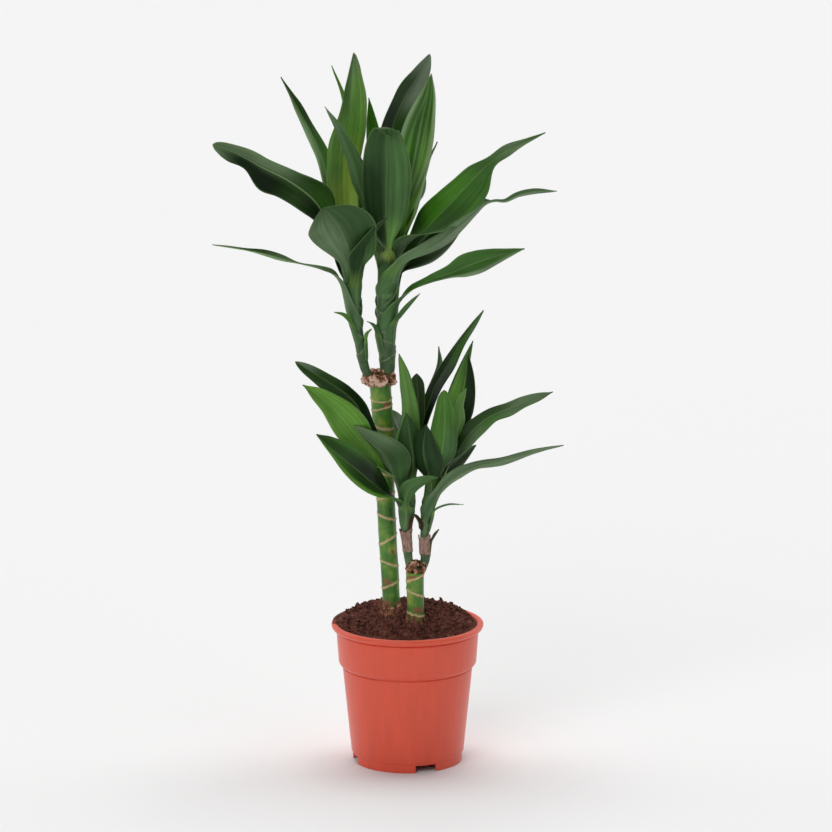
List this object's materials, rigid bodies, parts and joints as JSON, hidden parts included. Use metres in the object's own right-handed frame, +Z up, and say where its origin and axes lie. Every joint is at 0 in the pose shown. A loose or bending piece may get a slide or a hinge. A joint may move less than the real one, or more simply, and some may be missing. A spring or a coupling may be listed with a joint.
{
  "type": "potted corn plant",
  "caption": "Dracaena house plant with leafy shoots on bare canes, standing in soil in a round plastic nursery pot with a collar, rolled rim and notched foot ring.",
  "frame": {"origin": "on the surface that the pot stands on, under the middle of the plant's bounding box", "axes": "+Z up along the canes; -Y towards the front, the side that the picture shows; +X to the right seen from the front"},
  "size_m": [0.3825, 0.2398, 0.7941],
  "materials": {
    "pot": "satin",
    "soil": "matte",
    "cane": "satin",
    "leaf": "satin"
  },
  "bodies": {
    "root": {"pot": "pot", "soil": "soil", "tall_cane": "cane", "short_cane": "cane", "tall_cane_left_shoot": "leaf", "tall_cane_right_shoot": "leaf", "short_cane_left_shoot": "leaf", "short_cane_right_shoot": "leaf"}
  },
  "joints": []
}
